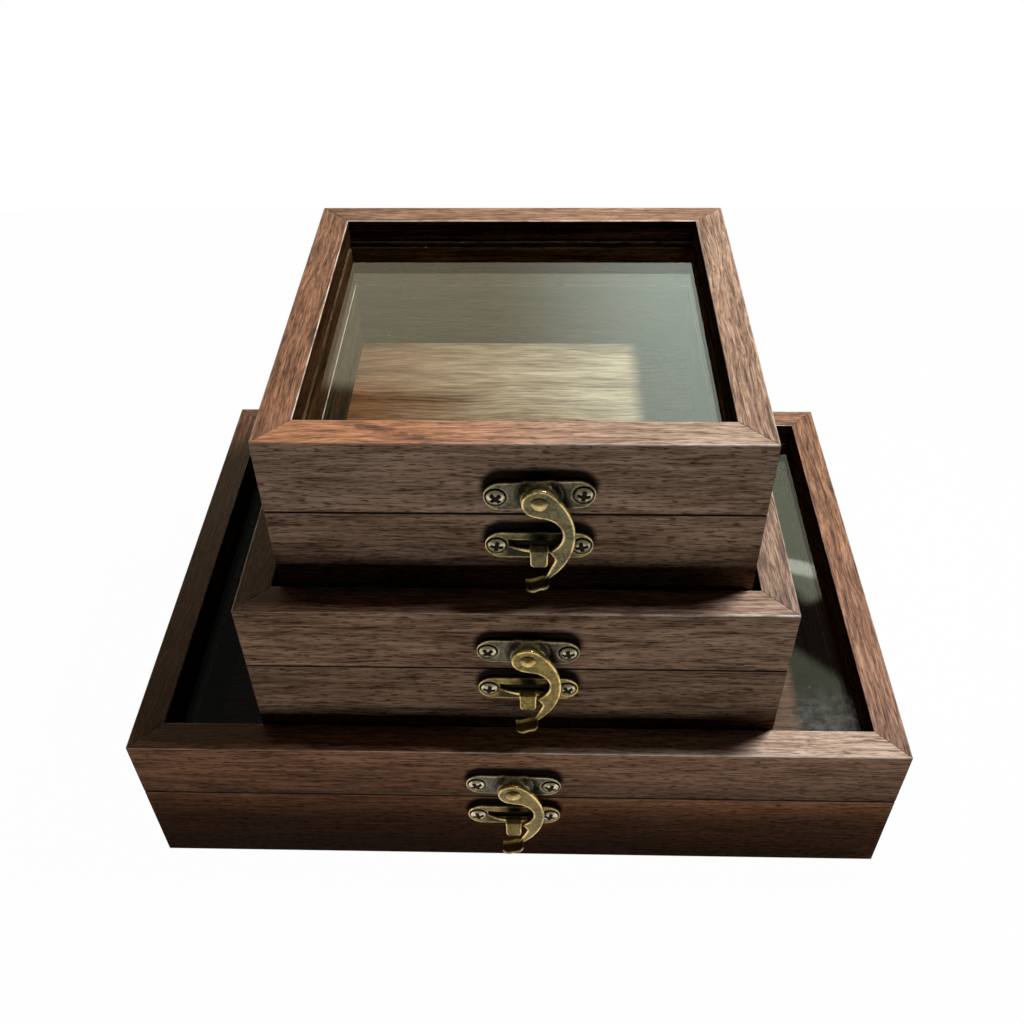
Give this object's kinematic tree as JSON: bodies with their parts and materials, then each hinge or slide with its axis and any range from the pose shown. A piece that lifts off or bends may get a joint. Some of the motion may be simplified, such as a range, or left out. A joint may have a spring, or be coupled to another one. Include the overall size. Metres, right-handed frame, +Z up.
{
  "type": "tabletop display cabinet",
  "caption": "Nest of glass-topped tabletop display cases with walnut-grain frames, hinged lids and brass swing-hook latches, stacked from large to small.",
  "frame": {"origin": "middle of the large case's underside, on the surface that the nest stands on", "axes": "+X to the right along the longest side, +Y from the latched front to the hinged back, +Z up"},
  "size_m": [0.225, 0.1708, 0.1536],
  "materials": {
    "walnut_film": "satin walnut-grain film on mitred boards, slightly rubbed at the edges",
    "walnut_inside": "matt brown wood-grain panel",
    "old_brass": "antiqued stamped sheet, dark in the hollows and bright at the edges",
    "pale_brass": "polished, slightly dulled",
    "pane": "clear flat pane"
  },
  "bodies": {
    "large_tray_body": {"large_tray_front": "walnut_film", "large_tray_right": "walnut_film", "large_tray_back": "walnut_film", "large_tray_left": "walnut_film", "large_tray_floor": "walnut_inside", "large_tray_hinge_leaves": "old_brass", "large_hinge_pins": "pale_brass", "large_catch": "old_brass", "large_tray_screws": "pale_brass"},
    "large_lid_body": {"large_lid_front": "walnut_film", "large_lid_right": "walnut_film", "large_lid_back": "walnut_film", "large_lid_left": "walnut_film", "large_glass": "pane", "large_lid_hinge_leaves": "old_brass", "large_latch_plate": "old_brass", "large_latch_rivet": "pale_brass", "large_lid_screws": "pale_brass"},
    "large_hook_body": {"large_hook": "old_brass"},
    "medium_tray_body": {"medium_tray_front": "walnut_film", "medium_tray_right": "walnut_film", "medium_tray_back": "walnut_film", "medium_tray_left": "walnut_film", "medium_tray_floor": "walnut_inside", "medium_tray_hinge_leaves": "old_brass", "medium_hinge_pins": "pale_brass", "medium_catch": "old_brass", "medium_tray_screws": "pale_brass"},
    "medium_lid_body": {"medium_lid_front": "walnut_film", "medium_lid_right": "walnut_film", "medium_lid_back": "walnut_film", "medium_lid_left": "walnut_film", "medium_glass": "pane", "medium_lid_hinge_leaves": "old_brass", "medium_latch_plate": "old_brass", "medium_latch_rivet": "pale_brass", "medium_lid_screws": "pale_brass"},
    "medium_hook_body": {"medium_hook": "old_brass"},
    "small_tray_body": {"small_tray_front": "walnut_film", "small_tray_right": "walnut_film", "small_tray_back": "walnut_film", "small_tray_left": "walnut_film", "small_tray_floor": "walnut_inside", "small_tray_hinge_leaves": "old_brass", "small_hinge_pins": "pale_brass", "small_catch": "old_brass", "small_tray_screws": "pale_brass"},
    "small_lid_body": {"small_lid_front": "walnut_film", "small_lid_right": "walnut_film", "small_lid_back": "walnut_film", "small_lid_left": "walnut_film", "small_glass": "pane", "small_lid_hinge_leaves": "old_brass", "small_latch_plate": "old_brass", "small_latch_rivet": "pale_brass", "small_lid_screws": "pale_brass"},
    "small_hook_body": {"small_hook": "old_brass"}
  },
  "joints": [
    {"name": "large_lid_hinge", "type": "hinge", "parent": "large_tray_body", "child": "large_lid_body", "pos_m": [0, 0.08185, 0.03335], "axis": [-1, 0, 0], "range_deg": [0, 100]},
    {"name": "large_hook_swing", "type": "hinge", "parent": "large_lid_body", "child": "large_hook_body", "pos_m": [-0.0007, -0.08025, 0.04045], "axis": [0, -1, 0], "range_deg": [0, 80]},
    {"name": "medium_lift", "type": "slide", "parent": "large_lid_body", "child": "medium_tray_body", "axis": [0, 0, 1], "range_m": [0, 0.06]},
    {"name": "medium_lid_hinge", "type": "hinge", "parent": "medium_tray_body", "child": "medium_lid_body", "pos_m": [0, 0.07185, 0.08215], "axis": [-1, 0, 0], "range_deg": [0, 100]},
    {"name": "medium_hook_swing", "type": "hinge", "parent": "medium_lid_body", "child": "medium_hook_body", "pos_m": [0.0036, -0.07075, 0.09005], "axis": [0, -1, 0], "range_deg": [0, 80]},
    {"name": "small_lift", "type": "slide", "parent": "medium_lid_body", "child": "small_tray_body", "axis": [0, 0, 1], "range_m": [0, 0.06]},
    {"name": "small_lid_hinge", "type": "hinge", "parent": "small_tray_body", "child": "small_lid_body", "pos_m": [0, 0.05985, 0.13095], "axis": [-1, 0, 0], "range_deg": [0, 100]},
    {"name": "small_hook_swing", "type": "hinge", "parent": "small_lid_body", "child": "small_hook_body", "pos_m": [0.0064, -0.06075, 0.13775], "axis": [0, -1, 0], "range_deg": [0, 80]}
  ]
}
